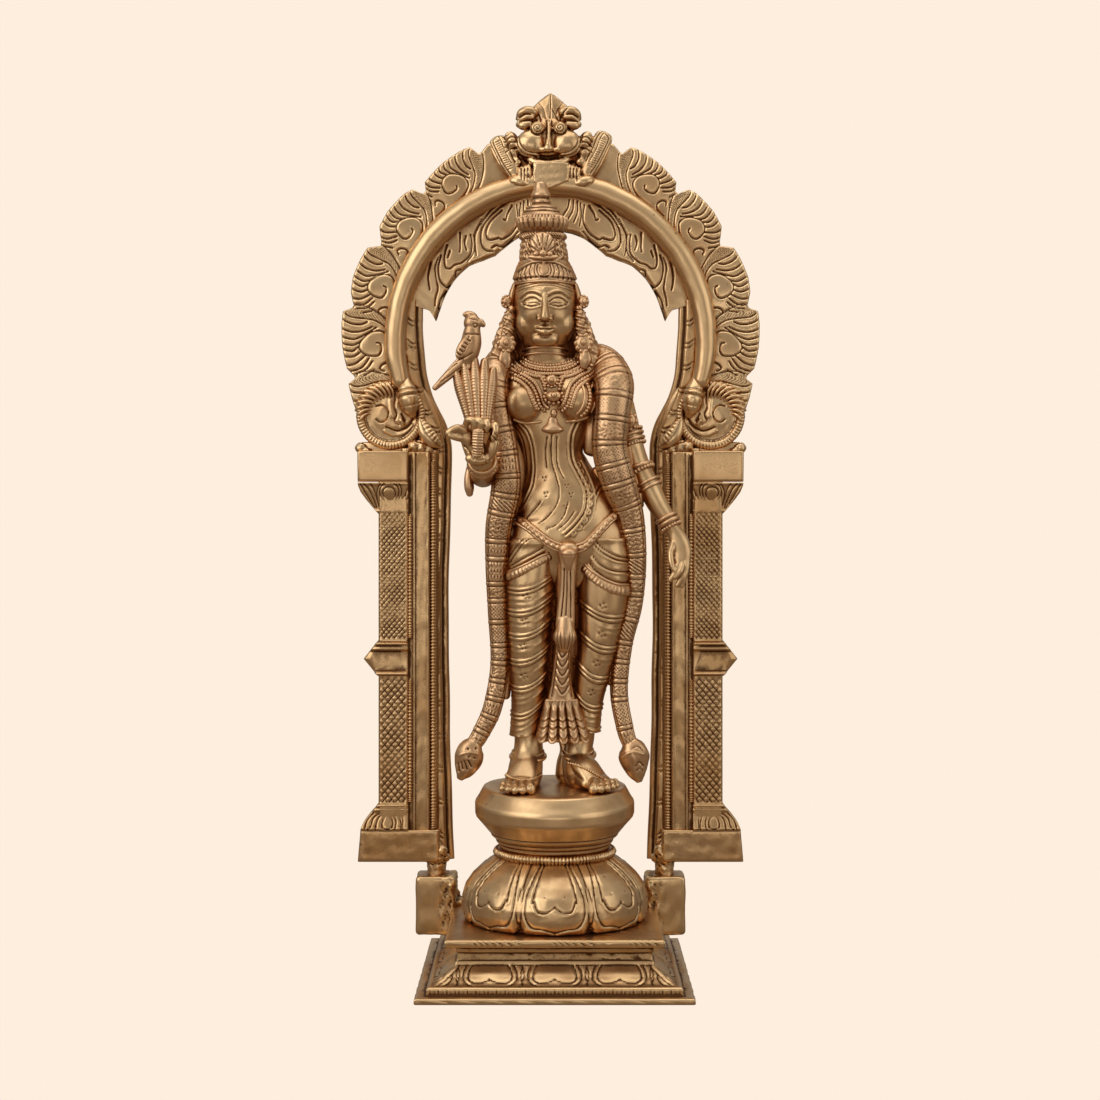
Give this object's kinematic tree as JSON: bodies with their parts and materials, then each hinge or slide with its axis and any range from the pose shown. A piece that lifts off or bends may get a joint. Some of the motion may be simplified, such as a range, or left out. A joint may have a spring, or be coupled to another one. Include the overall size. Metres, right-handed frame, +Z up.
{
  "type": "brass goddess figure with arch",
  "caption": "Standing brass goddess on a round lotus pedestal and square stepped base, framed by a leafy arch set in side sockets.",
  "frame": {"origin": "middle of the square base's underside", "axes": "+Z up, the figure's face and the front of the arch look along -Y, +X to a viewer's right"},
  "size_m": [0.2216, 0.135, 0.4574],
  "materials": {
    "figure_brass": "polished on the high points, dark patina in the carving",
    "base_brass": "polished plates with a rough dark lower edge",
    "arch_brass": "chased relief, golden edges and dark recesses"
  },
  "bodies": {
    "root": {"figure_and_lotus": "figure_brass", "square_base": "base_brass", "flame_arch": "arch_brass"}
  },
  "joints": []
}
